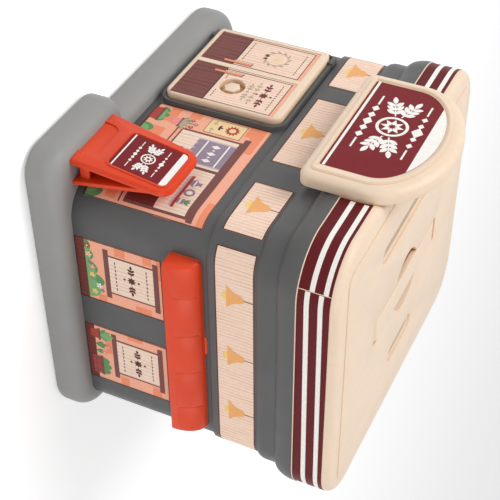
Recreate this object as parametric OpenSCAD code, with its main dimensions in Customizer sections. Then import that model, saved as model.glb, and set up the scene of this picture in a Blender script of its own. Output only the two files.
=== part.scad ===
// Coin bank in the shape of a corner shop: a grey building on a pavement plinth, with a cream roof
// that has a note slot, a coin slot and a pull-up carry handle, and a door with a turning latch.
// The front faces -Y, the awning side faces +X, and the bank stands on z = 0.

/* [Building] */
// Width of the walls, left to right
body_w = 180; // [168:1:196]
// Depth of the walls, front to back
body_d = 150; // [142:1:164]
// Corner radius of the walls
body_r = 17; // [14:0.5:20]
// Thickness of the building's shell
wall = 2.4; // [2:0.1:2.8]
// Height from the door's top to the label band
door_head = 3.8; // [1:0.1:8]
// Height of the label band above the plain walls
frieze_h = 25.8; // [24:0.2:30]
// How far the label band stands out from the walls
frieze_out = 1.5; // [1:0.1:2]
// Height of the bead above the label band
bead_h = 11.6; // [10:0.2:14]
// How far the bead stands out from the walls
bead_out = 4.1; // [3.2:0.1:4.8]
// Height of the cornice that swells out under the roof
swell_h = 11.5; // [10:0.5:14]
// How far the cornice stands out from the walls
swell_out = 9.6; // [8.8:0.1:10.4]

/* [Plinth] */
// Height of the plinth's deck above the ground
plinth_h = 19; // [17:0.5:22]
// Height of the joint between the plinth and its bottom cover
joint_h = 9.6; // [8.5:0.1:10]
// How far the plinth reaches beyond the side walls
plinth_side = 10.6; // [10.5:0.1:14]
// How far it reaches beyond the back wall
plinth_back = 7; // [6:0.1:12]
// How far it reaches beyond the front wall at the door
plinth_front = 8.1; // [7:0.1:12]
// How far it reaches beyond the front wall at the pavement sign
step_front = 24.3; // [23:0.1:30]
// Width of the deeper front part
step_w = 69.9; // [66:0.1:76]
// Plan radius of the plinth's corners
plinth_r = 24; // [20:0.5:28]
// Plan radius of the deeper part's corners
step_r = 15; // [13:0.5:18]
// Radius of the plinth's top edge
plinth_top_r = 8.5; // [6:0.1:9]
// Radius of the plinth's bottom edge
plinth_low_r = 3.6; // [2.6:0.1:4.5]
// Thickness of the plinth's deck and walls
plinth_wall = 2.6; // [2.2:0.1:3]
// Diameter of a rubber foot
foot_d = 14; // [10:0.5:18]
// How far a rubber foot stands out below the plinth
foot_out = 0.8; // [0.6:0.1:1.5]

/* [Roof] */
// Height of the roof cap, cornice edge to deck
cap_h = 21.2; // [19:0.1:24]
// How far the roof cap stands out from the walls
cap_out = 9; // [8.6:0.1:9.6]
// Radius of the roof's top edge
cap_edge_r = 4.5; // [3:0.5:6]
// Thickness of the roof deck
deck_t = 2.6; // [2.2:0.1:3]
// Distance from the roof's edge to the raised field
field_inset = 11.5; // [10:0.5:14]
// Height of the raised field above the roof's rim
field_rise = 0.5; // [0.3:0.1:1]
// Plan radius of the field's corners
field_r = 6; // [4:0.5:14]
// Length of the bank-note slot
note_l = 77; // [60:1:82]
// Length of the coin slot
coin_l = 31; // [27:0.5:36]
// Width of both slots
slot_w = 5; // [4.8:0.1:6]
// Depth of the dished border round a slot
dish_t = 1.2; // [0.8:0.1:1.4]
// Place of the note slot, front to back
note_y = -46.4; // [-47:0.1:-41]
// Place of the coin slot, front to back
coin_y = 43.6; // [38:0.1:44]

/* [Handle] */
// Length of the carry handle
strap_l = 94; // [86:1:104]
// Width of the carry handle
strap_w = 15; // [13:0.5:17]
// Thickness of the carry handle
strap_t = 3.6; // [3:0.1:4.2]
// How far the handle pulls up
lift = 12; // [9:0.5:14]
// Radius of the finger pocket
pocket_r = 18; // [16:0.5:20]
// Depth of the finger pocket below the roof
pocket_h = 11.5; // [10:0.5:13]

/* [Sign board] */
// Width of the board on the roof's front
board_w = 96; // [86:1:104]
// Height of the board
board_h = 64.8; // [60:0.2:70]
// Height of the board's arch
arch_h = 31.7; // [26:0.1:34]
// How far the board stands out from the roof cap
board_t = 8.1; // [7.2:0.1:9.4]
// How far the board hangs below the roof cap
board_drop = 22.5; // [20:0.5:24]
// Width of the board's rounded border
border = 4.3; // [3.4:0.1:5]
// Width of the raised trim round the board's label
trim_w = 3.1; // [2.4:0.1:3.6]

/* [Door] */
// Width of the door
door_w = 72.2; // [66:0.2:76]
// Height of the door
door_h = 67; // [62:0.2:69]
// Place of the door's left edge, measured from the building's corner
door_left = 18.2; // [17:0.2:21]
// Height of the door's foot above the plinth
door_lift = 4.7; // [4.2:0.1:5]
// How far the door stands out from the wall
door_out = 6.9; // [6.6:0.1:8]
// Corner radius of the door
door_r = 5.5; // [3:0.5:7]
// Width of the raised rim round the door
rim_w = 2; // [1.6:0.1:3]
// How far the rim stands out from the wall
rim_out = 3.3; // [2.8:0.1:3.8]
// Diameter of the knob's well
well_d = 14; // [13:0.2:16]
// Width of the hexagonal knob across its flats
knob_w = 8; // [6.4:0.2:8.6]
// Distance from the door's right edge to the knob
knob_in = 18.8; // [17:0.2:22]
// Height of the knob above the door's foot
knob_z = 31.5; // [28:0.5:38]
// Diameter of a hinge pin
pin_d = 2; // [1.6:0.1:2.2]

/* [Awning] */
// Length of the awning
awning_l = 118.6; // [104:0.2:122]
// Height of the awning
awning_h = 16.6; // [14:0.2:18]
// How far the awning stands out from the wall
awning_out = 10.3; // [9:0.1:10.4]
// Height of the awning's underside above the plinth
awning_z = 55.3; // [51:0.1:56]
// Length of one panel between two creases
panel_l = 26; // [20:1:30]

/* [Pavement sign] */
// Width of the boards at their feet
easel_w = 42.6; // [39:0.2:46]
// Width of the boards at the top
easel_top_w = 36.6; // [34:0.2:39]
// Height of the sign
easel_h = 52.7; // [46:0.1:54]
// Thickness of a board
easel_t = 2.6; // [2.2:0.1:3.6]
// Distance from the side wall's plane to the sign's middle
easel_in = 25.7; // [22:0.1:27]
// Distance from the wall to the sign's ridge
easel_y = 9.3; // [8.8:0.1:10]
// Distance from the ridge to the front foot
front_foot = 8.4; // [7:0.1:9]
// Distance from the ridge to the back foot
back_foot = 7.4; // [5:0.1:7.8]

/* [Hidden] */
$fn = 48;

// Clearances
seat_gap = 0.2;
run_gap = 0.05;
thread_gap = 0.05;
door_gap = 0.6;
swing_gap = 0.35;

// Levels
door_z0 = plinth_h + door_lift;
door_z1 = door_z0 + door_h;
frieze_z = door_z1 + door_head;
bead_z = frieze_z + frieze_h;
swell_z = bead_z + bead_h;
cap_z = swell_z + swell_h;
top_z = cap_z + cap_h;
field_z = top_z + field_rise;
front_y = -body_d/2;
side_x = body_w/2;
site_y = (step_front - max(plinth_back, swell_out))/2;

// Screws: shank radius, head radius and head height, and the boss around one
screw_r = 1.5;
head_r = 2.8;
head_h = 1.8;
boss_r = 4;

grey = "#565657";
pale_grey = "#969694";
cream = "#ecd2b2";
orange = "#d24a2c";
burgundy = "#7c2a30";
salmon = "#eea780";
steel = "#b8babd";
black = "#262626";

// Points of an elliptic arc
function arc(cx, cy, rx, ry, a0, a1, n = 8) =
    [for (i = [0:n]) let (a = a0 + (a1 - a0)*i/n) [cx + rx*cos(a), cy + ry*sin(a)]];

// Moves the building so that the whole bank's box is centred on the origin
module site() {
    translate([0, site_y, 0]) children();
}

// Sweeps a profile round a rectangle with rounded corners. In the profile, x is the distance from
// the corner's centre and y is the height.
module around(w, d, r) {
    for (k = [0:3]) rotate([0, 0, 90*k]) {
        run = (k % 2 == 0 ? w : d) - 2*r;
        off = (k % 2 == 0 ? d : w)/2 - r;
        translate([-run/2, off, 0]) rotate([90, 0, 90]) linear_extrude(height = run) children();
        translate([run/2, off, 0]) rotate_extrude(angle = 90) children();
    }
}

// Flat plate with rounded corners, centred on the origin
module plate(w, d, h, r) {
    linear_extrude(height = h) rounded(w, d, r);
}

module rounded(w, d, r) {
    square([w - 2*r, d], center = true);
    square([w, d - 2*r], center = true);
    for (x = [-1, 1], y = [-1, 1]) translate([x*(w/2 - r), y*(d/2 - r)]) circle(r);
}

// Puts a flat shape, drawn in x and z, on the plane at the given y, standing out towards -Y
module on_front(y, t) {
    translate([0, y, 0]) rotate([90, 0, 0]) linear_extrude(height = t) children();
}

// Pan-head screw with its seat at the origin and its shank along +Z
module screw(length) {
    cylinder(r = screw_r, h = length);
    translate([0, 0, -head_h]) difference() {
        cylinder(r = head_r, h = head_h);
        translate([0, 0, -1]) cylinder(r = 1.1, h = 2, $fn = 6);
    }
}

// Hole for a screw's thread
module pilot(length) {
    cylinder(r = screw_r + thread_gap, h = length);
}

// Hole that lets a shank through
module passage(length) {
    cylinder(r = screw_r + seat_gap, h = length);
}

// Plinth: two overlapping blocks, the second one deeper at the front
main_w = body_w + 2*plinth_side;
main_d = body_d + plinth_front + plinth_back;
main_y = (plinth_back - plinth_front)/2;
step_d = body_d/2 + step_front;
step_mid_x = side_x + plinth_side - step_w/2;
step_mid_y = -step_d/2;
cavity_top = plinth_h - plinth_wall;
cavity_r = plinth_top_r - plinth_wall;

module plinth_plan(inset) {
    translate([0, main_y]) rounded(main_w - 2*inset, main_d - 2*inset, plinth_r - inset);
    translate([step_mid_x, step_mid_y]) rounded(step_w - 2*inset, step_d - 2*inset, step_r - inset);
}

// A block with a rounded upper edge, from level z0 to level z1
module domed_block(w, d, r, z0, z1, edge) {
    around(w, d, r)
        polygon(concat([[0, z0], [r, z0]], arc(r - edge, z1 - edge, edge, edge, 0, 90), [[0, z1]]));
    translate([-w/2 + r, -d/2 + r, z0]) cube([w - 2*r, d - 2*r, z1 - z0]);
}

// A block with a rounded lower edge
module keeled_block(w, d, r, z0, z1, edge) {
    around(w, d, r)
        polygon(concat([[0, z1], [0, z0]], arc(r - edge, z0 + edge, edge, edge, -90, 0), [[r, z1]]));
    translate([-w/2 + r, -d/2 + r, z0]) cube([w - 2*r, d - 2*r, z1 - z0]);
}

// Distances from the walls' outer planes to the screws and the feet
post_in = 12;
bottom_screw_in = 34;
foot_in = 9;
foot_end = 26;

module body_screw_places() {
    for (x = [-1, 1], y = [-1, 1]) translate([x*(side_x - post_in), y*(body_d/2 - post_in), 0]) children();
}

module bottom_screw_places() {
    for (x = [-1, 1], y = [-1, 1])
        translate([x*(side_x - bottom_screw_in), y*(body_d/2 - post_in), 0]) children();
}

module foot_places() {
    for (x = [-1, 1], y = [-1, 1]) translate([x*(side_x - foot_in), y*(body_d/2 - foot_end), 0]) children();
}

post_h = 14;
post_grip = 10.4;
curb_h = 3;
curb_t = 1.6;
lip_t = 1.4;
lip_h = 2;

module base_plinth() {
    color(pale_grey) site() difference() {
        union() {
            difference() {
                union() {
                    translate([0, main_y, 0])
                        domed_block(main_w, main_d, plinth_r, joint_h, plinth_h, plinth_top_r);
                    translate([step_mid_x, step_mid_y, 0])
                        domed_block(step_w, step_d, step_r, joint_h, plinth_h, plinth_top_r);
                }
                translate([0, main_y, 0]) domed_block(main_w - 2*plinth_wall, main_d - 2*plinth_wall,
                    plinth_r - plinth_wall, joint_h - 1, cavity_top, cavity_r);
                translate([step_mid_x, step_mid_y, 0]) domed_block(step_w - 2*plinth_wall,
                    step_d - 2*plinth_wall, step_r - plinth_wall, joint_h - 1, cavity_top, cavity_r);
            }
            curb();
            bottom_screw_places() translate([0, 0, joint_h])
                cylinder(r = boss_r, h = plinth_h - joint_h - 1);
            easel_socket_places() translate([0, 0, plinth_h - peg_h - 2])
                cylinder(r = peg_r + 2, h = peg_h + 1);
        }
        body_screw_places() translate([0, 0, joint_h]) passage(plinth_h);
        bottom_screw_places() translate([0, 0, joint_h - 1]) pilot(plinth_h - joint_h - 0.6);
        easel_socket_places() translate([0, 0, plinth_h - peg_h])
            cylinder(r = peg_r + run_gap, h = peg_h + 1);
    }
}

// Low ring on the deck that the walls are slipped over
module curb() {
    out_r = body_r - wall - seat_gap;
    around(body_w, body_d, body_r)
        translate([out_r - curb_t, plinth_h - 0.5]) square([curb_t, curb_h + 0.5]);
}

module bottom_cover() {
    color(pale_grey) site() difference() {
        union() {
            difference() {
                union() {
                    translate([0, main_y, 0])
                        keeled_block(main_w, main_d, plinth_r, foot_out, joint_h, plinth_low_r);
                    translate([step_mid_x, step_mid_y, 0])
                        keeled_block(step_w, step_d, step_r, foot_out, joint_h, plinth_low_r);
                }
                translate([0, 0, foot_out + plinth_wall])
                    linear_extrude(height = joint_h) plinth_plan(plinth_wall);
            }
            translate([0, 0, foot_out + plinth_wall - 0.5])
                linear_extrude(height = joint_h + lip_h - foot_out - plinth_wall + 0.5) difference() {
                    plinth_plan(plinth_wall + seat_gap);
                    plinth_plan(plinth_wall + seat_gap + lip_t);
                }
            bottom_screw_places() translate([0, 0, foot_out + 0.5])
                cylinder(r = boss_r + 1.2, h = joint_h - foot_out - 0.5);
        }
        bottom_screw_places() {
            translate([0, 0, -1]) passage(joint_h + 2);
            translate([0, 0, -1]) cylinder(r = head_r + 0.4, h = bottom_seat_z + 1);
        }
        foot_places() translate([0, 0, -1]) cylinder(d = foot_d + 2*seat_gap, h = foot_seat_z + 1);
    }
}

bottom_seat_z = foot_out + 3;
foot_seat_z = foot_out + plinth_wall/2;

module rubber_feet() {
    edge = 0.6;
    color(black) site() foot_places() rotate_extrude() polygon(concat([[0, 0]],
        arc(foot_d/2 - edge, edge, edge, edge, -90, 0, 4), [[foot_d/2, foot_seat_z], [0, foot_seat_z]]));
}

module bottom_screws() {
    color(steel) site() bottom_screw_places() translate([0, 0, bottom_seat_z])
        screw(plinth_h - bottom_seat_z - 3);
}

// Building: a shell of even thickness whose inside follows the mouldings
module shell_profile() {
    f = body_r + frieze_out;
    b = body_r + bead_out;
    s = body_r + swell_out;
    cove = 1.6;
    bead_rise = 4.8;
    outer = concat(
        [[body_r, plinth_h], [body_r, frieze_z - cove]],
        arc(f, frieze_z - cove, frieze_out, cove, 180, 90, 4),
        [[f, bead_z]],
        arc(f, bead_z + bead_rise, bead_out - frieze_out, bead_rise, -90, 0, 6),
        [[b, swell_z]],
        arc(b, cap_z, swell_out - bead_out, swell_h, -90, 0, 10));
    inner = concat(
        arc(b, cap_z, swell_out - bead_out - wall, swell_h - wall, 0, -90, 6),
        [[b - wall, swell_z + wall], [b - wall, bead_z + bead_rise], [f - wall, bead_z],
            [f - wall, frieze_z], [body_r - wall, frieze_z - cove], [body_r - wall, plinth_h]]);
    polygon(concat(outer, inner));
}

bracket_z = swell_z + wall - 0.2;
bracket_in = 13;
bracket_w = 16;
bracket_t = 3;
bracket_back = 32;
bracket_reach = bead_out + (swell_out - bead_out)*0.53;
roof_screw_in = 8;
roof_boss_z = bracket_z + bracket_t;

module roof_screw_places() {
    for (x = [-1, 1], y = [-1, 1])
        translate([x*(side_x - roof_screw_in), y*(body_d/2 - bracket_back), 0]) children();
}

door_x0 = -side_x + door_left;
door_x1 = door_x0 + door_w;
hinge_r = 4.4;
hinge_x = door_x0 + hinge_r;
hinge_y = front_y - door_out + hinge_r;
knob_x = door_x1 - knob_in;
knob_level = door_z0 + knob_z;
rest_gap = 0.3;
jamb = 5;
lug_w = 2.4;
lug_l = 7;
lug_out = front_y - hinge_y + pin_d/2 + 0.9;
pin_end = 0.4;

module door_plan(grow) {
    translate([(door_x0 + door_x1)/2, (door_z0 + door_z1)/2])
        rounded(door_w + 2*grow, door_h + 2*grow, door_r + grow);
}

module body_shell() {
    color(grey) site() difference() {
        union() {
            around(body_w, body_d, body_r) shell_profile();
            on_front(front_y + 0.5, rim_out + 0.5) difference() {
                door_plan(door_gap + rim_w);
                door_plan(door_gap);
            }
            for (z = [door_z0 - door_gap - lug_w, door_z1 + door_gap])
                translate([hinge_x - lug_l/2, front_y - lug_out, z]) cube([lug_l, lug_out + 0.5, lug_w]);
            body_screw_places() translate([0, 0, plinth_h]) cylinder(r = boss_r, h = post_h);
            for (m = [0, 1], y = [-1, 1]) mirror([m, 0, 0]) {
                translate([side_x - post_in, y*(body_d/2 - post_in) - 0.8, plinth_h + curb_h + 1])
                    cube([post_in - wall + 0.6, 1.6, post_h - curb_h - 1]);
                translate([side_x - bracket_in, y*(body_d/2 - bracket_back) - bracket_w/2, bracket_z])
                    cube([bracket_in + bracket_reach, bracket_w, bracket_t]);
            }
        }
        // door opening: it runs up to the rim at the hinge, where the door's edge swings in
        translate([door_x0 - door_gap, front_y - lug_out - 1, door_z0 + jamb])
            cube([door_w + door_gap - jamb, lug_out + wall + 2, door_h - 2*jamb]);
        // room for the hinge edge in the wall above and below the opening
        translate([hinge_x, hinge_y, door_z0 - door_gap])
            cylinder(r = hinge_r + 0.5, h = door_h + 2*door_gap);
        // room for the door's face when it stands wide open
        translate([door_x0 - swing_gap, front_y - lug_out - 1, door_z0 - swing_gap])
            cube([hinge_r, hinge_y - front_y + lug_out + 1, door_h + 2*swing_gap]);
        // pin holes in the lugs
        translate([hinge_x, hinge_y, door_z0 - door_gap - lug_w + pin_end])
            cylinder(d = pin_d + 2*run_gap, h = door_h + 2*(door_gap + lug_w - pin_end));
        // screw holes
        body_screw_places() translate([0, 0, plinth_h - 1]) pilot(post_h - 1);
        roof_screw_places() translate([0, 0, bracket_z - 1]) passage(5);
        awning_screw_places() rotate([0, 90, 0]) translate([0, 0, -wall - 1]) passage(wall + 2);
        // slot for the awning's tab
        translate([side_x - wall - 1, tab_y - tab_w/2, tab_z0])
            cube([wall + 2, tab_w, tab_z1 - tab_z0]);
    }
}

module body_screws() {
    color(steel) site() body_screw_places() translate([0, 0, cavity_top]) screw(plinth_wall + post_grip);
}

// Roof
cap_w = body_w + 2*cap_out;
cap_d = body_d + 2*cap_out;
cap_r = body_r + cap_out;
rim_in = body_r + swell_out - wall;
skirt_t = 1.6;
cap_lip = 0.5;
cap_wall = cap_out - swell_out + wall + seat_gap + skirt_t;
strap_proud = 0.5;
strap_top = field_z + strap_proud;
strap_floor = strap_top - strap_t;
floor_t = 2.4;
strap_y = 0.8;
strap_x = -1.5;
strap_edge = 1.1;
bend_r = 1.5;
roof_screw_l = 12;
pan_gap = 0.6;
leg_gap = 0.4;
leg_x = strap_l/2 - strap_t;
hook_out = 2.4;
hook_h = 3;
hook_top = strap_floor - floor_t - lift - 0.3;

module cap_profile() {
    tongue = 3;
    inner_r = 2.5;
    r_in = rim_in - seat_gap;
    polygon(concat(
        [[0, top_z - deck_t], [0, top_z]],
        arc(cap_r - cap_edge_r, top_z - cap_edge_r, cap_edge_r, cap_edge_r, 90, 0),
        [[cap_r, cap_z + cap_lip], [body_r + swell_out, cap_z + cap_lip], [body_r + swell_out, cap_z],
            [r_in, cap_z], [r_in, cap_z - tongue], [r_in - skirt_t, cap_z - tongue]],
        arc(r_in - skirt_t - inner_r, top_z - deck_t - inner_r, inner_r, inner_r, 0, 90, 4)));
}

module slot_recess(y, l) {
    border_w = 2.8;
    translate([0, y, field_z - dish_t])
        plate(l + 2*border_w, slot_w + 2*border_w, dish_t + 1, slot_w/2 + border_w - 0.05);
}

module slot_cut(y, l) {
    translate([0, y, top_z - deck_t - 3]) plate(l, slot_w, deck_t + field_rise + 4, 2.2);
}

module slot_tray(y, l) {
    tray_w = 4.6;
    translate([0, y, field_z - dish_t - 2])
        plate(l + 2*tray_w, slot_w + 2*tray_w, dish_t + 2, slot_w/2 + tray_w - 0.05);
}

// Bowl with a rounded foot: the outside for grow = 0 is the hollow itself
module bowl(grow) {
    round_r = 7;
    base = field_z - pocket_h - grow;
    r = pocket_r + grow;
    rim_z = grow > 0 ? field_z : field_z + 1;
    rotate_extrude() polygon(concat([[0, base]], arc(r - round_r, base + round_r, round_r, round_r, -90, 0),
        [[r, rim_z], [0, rim_z]]));
}

module roof_cap() {
    pan_l = strap_l + 2*pan_gap;
    pan_w = strap_w + 2*pan_gap;
    ease = bend_r + leg_gap;
    color(cream) site() difference() {
        union() {
            around(body_w, body_d, body_r) cap_profile();
            translate([-side_x + body_r, -body_d/2 + body_r, top_z - deck_t])
                cube([body_w - 2*body_r, body_d - 2*body_r, deck_t]);
            translate([0, 0, top_z - 1])
                plate(cap_w - 2*field_inset, cap_d - 2*field_inset, field_rise + 1, field_r);
            slot_tray(note_y, note_l);
            slot_tray(coin_y, coin_l);
            translate([strap_x, strap_y, strap_floor - floor_t])
                plate(pan_l + 2*wall, pan_w + 2*wall, field_z - strap_floor + floor_t, 4);
            translate([strap_x, strap_y, 0]) bowl(wall - 0.4);
            roof_screw_places() translate([0, 0, roof_boss_z])
                cylinder(r = boss_r, h = top_z - roof_boss_z - 1);
        }
        slot_recess(note_y, note_l);
        slot_recess(coin_y, coin_l);
        slot_cut(note_y, note_l);
        slot_cut(coin_y, coin_l);
        translate([strap_x, strap_y, strap_floor]) plate(pan_l, pan_w, strap_t + 2, strap_edge + pan_gap);
        translate([strap_x, strap_y, 0]) bowl(0);
        // holes for the handle's legs, eased where the strap bends down
        for (m = [0, 1]) translate([strap_x, strap_y, 0]) mirror([m, 0, 0]) {
            translate([leg_x - leg_gap, -strap_w/2 - leg_gap, strap_floor - floor_t - 1])
                cube([strap_t + 2*leg_gap, strap_w + 2*leg_gap, floor_t + 3]);
            translate([leg_x, strap_w/2 + leg_gap, strap_floor]) rotate([90, 0, 0])
                linear_extrude(height = strap_w + 2*leg_gap)
                    polygon([[-ease, 0.5], [-ease, 0], [0, -ease], [0, 0.5]]);
        }
        roof_screw_places() translate([0, 0, roof_boss_z - 1]) pilot(roof_screw_l);
        sign_screw_places() rotate([90, 0, 0]) translate([0, 0, -2*cap_wall]) passage(3*cap_wall);
    }
}

module roof_screws() {
    color(steel) site() roof_screw_places() translate([0, 0, bracket_z]) screw(roof_screw_l);
}

// Carry handle: a flat strap whose ends turn down through the roof and end in hooks
module strap_section() {
    translate([strap_t/2, 0]) rounded(strap_t, strap_w, strap_edge);
}

module carry_handle() {
    run = strap_l - 2*(strap_t + bend_r);
    leg = strap_top - strap_t - bend_r - hook_top + hook_h;
    hook = hook_out + 0.5;
    color(cream) site() translate([strap_x, strap_y, 0]) {
        translate([-run/2, 0, strap_floor]) rotate([90, 0, 90]) linear_extrude(height = run)
            rotate(90) mirror([0, 1]) strap_section();
        for (m = [0, 1]) mirror([m, 0, 0]) translate([run/2, 0, strap_floor - bend_r]) {
            rotate([90, 0, 0]) rotate_extrude(angle = 90) translate([bend_r, 0]) strap_section();
            translate([bend_r, 0, -leg]) linear_extrude(height = leg) strap_section();
            translate([bend_r + strap_t - 0.5, -strap_w/2 + 2, -leg]) rotate([90, 0, 0]) mirror([0, 0, 1])
                linear_extrude(height = strap_w - 4)
                    polygon([[0, 0], [1, 0], [hook, hook_h - 1], [hook, hook_h], [0, hook_h]]);
        }
    }
}

// Sign board: an arched board with a rounded border and a raised trim round its label, cut at the
// back to sit on the roof cap's edge
board_z0 = cap_z - board_drop;
board_y = front_y - cap_out - board_t;
crown = 1.8;
corner_r = 6;
sign_grip = 5;
board_seat = swell_out + 0.05;

// Outline with an arched top, standing on z = 0
module arched(w, h, rise, r) {
    polygon(concat([[-w/2 + r, 0]], arc(w/2 - r, r, r, r, -90, 0, 6),
        arc(0, h - rise, w/2, rise, 0, 180, 32), arc(-w/2 + r, r, r, r, 180, 270, 6)));
}

// The board's outline drawn inwards: the arch draws in a little more than the sides
module board_plan(inset) {
    top = crown*min(inset/border, 1);
    translate([0, board_z0 + inset])
        arched(board_w - 2*inset, board_h - 2*inset - top, arch_h - inset, max(corner_r - 0.7*inset, 1.2));
}

module sign_screw_places() {
    for (x = [-1, 1]) translate([x*board_w*0.3, front_y - cap_out, cap_z + cap_h*0.42]) children();
}

module sign_board() {
    roll = 3.6;
    bead = 0.8;
    color(cream) site() difference() {
        union() {
            hull() {
                on_front(board_y + board_t, board_t - roll) board_plan(0);
                for (i = [1:6])
                    on_front(board_y + roll - roll*sin(15*i) + 0.01, 0.01)
                        board_plan(border*(1 - cos(15*i)));
            }
            for (a = [20, 45, 70]) on_front(board_y + 0.5, 0.5 + bead*sin(a)) difference() {
                board_plan(border + trim_w/2*(1 - cos(a)));
                board_plan(border + trim_w/2*(1 + cos(a)));
            }
        }
        // room for the roof cap's lip and the cornice
        translate([-board_w/2 - 1, front_y - board_seat, board_z0 - 1])
            cube([board_w + 2, board_t, board_drop + 1 + cap_lip + 0.1]);
        sign_screw_places() rotate([90, 0, 0]) translate([0, 0, -1]) pilot(sign_grip + 1.5);
    }
}

module sign_screws() {
    color(steel) site() sign_screw_places() translate([0, cap_wall, 0]) rotate([90, 0, 0])
        screw(cap_wall + sign_grip);
}

// Awning: a quarter-round bar with rounded ends, held by two screws and a tab above it
awning_low = plinth_h + awning_z;
awning_mid = 1.3;
awning_grip = 5.1;
end_r = 2.4;
first_panel = 21;
tab_w = 12;
tab_y = -1;
tab_z0 = awning_low + awning_h - 3;
tab_show = 1.2;
tab_z1 = awning_low + awning_h + tab_show;

module awning_screw_places() {
    for (y = [-1, 1])
        translate([side_x, awning_mid + y*awning_l*0.33, awning_low + awning_h*0.36]) children();
}

module awning_section(shrink) {
    polygon(concat([[0, 0]], arc(0, 0, awning_out - shrink, awning_h - shrink, 0, 90, 14)));
}

module awning() {
    crease_w = 0.7;
    color(orange) site() difference() {
        union() {
            hull() for (i = [0:4]) {
                run = awning_l - 2*end_r*(1 - sin(22.5*i));
                translate([side_x, awning_mid + run/2, awning_low]) rotate([90, 0, 0])
                    linear_extrude(height = run) awning_section(end_r*(1 - cos(22.5*i)));
            }
            translate([side_x - wall + 0.2, tab_y - tab_w/2 + seat_gap, tab_z0 + seat_gap])
                cube([wall, tab_w - 2*seat_gap, tab_z1 - tab_z0 - 2*seat_gap]);
        }
        for (i = [0:3]) translate([side_x, awning_mid - awning_l/2 + first_panel + i*panel_l, awning_low])
            rotate([90, 0, 0]) linear_extrude(height = crease_w) difference() {
                polygon(concat([[0, 0]], arc(0, 0, awning_out*1.2, awning_h*1.2, 14, 72, 8)));
                awning_section(0.35);
            }
        awning_screw_places() rotate([0, 90, 0]) translate([0, 0, -1]) pilot(awning_grip + 1.9);
    }
}

module awning_screws() {
    color(steel) site() awning_screw_places() translate([-wall, 0, 0]) rotate([0, 90, 0])
        screw(wall + awning_grip);
}

// Pavement sign: two boards that lean together, on pegs in the plinth
peg_r = 1.5;
peg_h = 4;
peg_x = easel_w*0.32;
peg_in = easel_t*0.55;
easel_x = side_x - easel_in;
ridge_y = front_y - easel_y;
front_lean = atan(front_foot/easel_h);
back_lean = atan(back_foot/easel_h);
front_y0 = ridge_y - front_foot;
back_y0 = ridge_y + back_foot;

module easel_socket_places() {
    for (x = [-1, 1]) {
        translate([easel_x + x*peg_x, front_y0 + peg_in, 0]) children();
        translate([easel_x + x*peg_x, back_y0 - peg_in, 0]) children();
    }
}

// Outline of a board: wide feet with a gap of the given height between them, and rounded top corners
module easel_outline(inset, gap) {
    b = easel_w/2 - inset;
    t = easel_top_w/2 - inset;
    r = 7.5 - inset;
    h = easel_h - inset;
    difference() {
        hull() {
            translate([-b + 1.5, inset + 1.5]) circle(1.5, $fn = 16);
            translate([b - 1.5, inset + 1.5]) circle(1.5, $fn = 16);
            translate([-t + r, h - r]) circle(r, $fn = 32);
            translate([t - r, h - r]) circle(r, $fn = 32);
        }
        translate([-easel_w*0.29, -1]) square([easel_w*0.58, 1 + gap]);
    }
}

module easel_board(gap) {
    rotate([90, 0, 0]) translate([0, 0, -easel_t]) for (a = [0, 22.5, 45, 67.5, 90])
        linear_extrude(height = easel_t - easel_edge*(1 - sin(a)))
            easel_outline(easel_edge*(1 - cos(a)), gap);
}

// The pavement sign's label: smaller than the board's top by an even margin
easel_edge = 1.3;
easel_label_side = 5;
easel_label_top = 5.5;
easel_label_z = 16.1;
easel_label_r = 2.7;
easel_label_w = easel_top_w - 2*easel_label_side;
easel_label_h = easel_h - easel_label_z - easel_label_top;

module easel_label_plan(grow) {
    translate([0, easel_label_z + easel_label_h/2])
        rounded(easel_label_w + 2*grow, easel_label_h + 2*grow, easel_label_r + grow);
}

module easel_front_board() {
    frame_w = 1.8;
    field_w = easel_w*0.62;
    color(orange) site() difference() {
        union() {
            intersection() {
                translate([easel_x, front_y0, plinth_h]) rotate([-front_lean, 0, 0]) union() {
                    translate([0, 0, -1]) easel_board(0);
                    for (rise = [0.35, 0.6]) on_front(0.5, 0.5 + rise) difference() {
                        easel_label_plan(frame_w - rise/2);
                        easel_label_plan(seat_gap + rise/2);
                    }
                }
                translate([easel_x - easel_w, ridge_y - easel_h, plinth_h])
                    cube([2*easel_w, 2*easel_h, easel_h*1.2]);
            }
            for (x = [-1, 1]) translate([easel_x + x*peg_x, front_y0 + peg_in, plinth_h - peg_h])
                cylinder(r = peg_r, h = peg_h + 2);
        }
        // shallow arched field between the feet
        translate([easel_x, front_y0, plinth_h]) rotate([-front_lean, 0, 0]) on_front(0.8, 2)
            translate([0, 3]) rounded(field_w, 13, 5);
    }
}

module easel_back_board() {
    web_z = plinth_h + 3;
    color(orange) site() difference() {
        union() {
            translate([easel_x, back_y0, plinth_h]) rotate([back_lean, 0, 0]) mirror([0, 1, 0])
                translate([0, 0, -1]) easel_board(2.4);
            for (x = [-1, 1]) {
                translate([easel_x + x*peg_x, back_y0 - peg_in, plinth_h - peg_h])
                    cylinder(r = peg_r, h = peg_h + 2);
                translate([easel_x + x*easel_w*0.4 - 0.8, front_y0 + 1, web_z])
                    cube([1.6, back_y0 - front_y0 - 2, 5]);
            }
        }
        // the front board's side of the ridge and the ground stay clear
        translate([easel_x, front_y0, plinth_h]) rotate([-front_lean, 0, 0])
            translate([-easel_w, easel_t - 40 + 0.01, -20]) cube([2*easel_w, 40, easel_h*2]);
        difference() {
            translate([easel_x - easel_w, ridge_y - 40, plinth_h - 30]) cube([2*easel_w, 80, 30]);
            for (x = [-1, 1]) translate([easel_x + x*peg_x, back_y0 - peg_in, plinth_h - peg_h - 1])
                cylinder(r = peg_r + 0.01, h = peg_h + 2);
        }
    }
}

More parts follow.
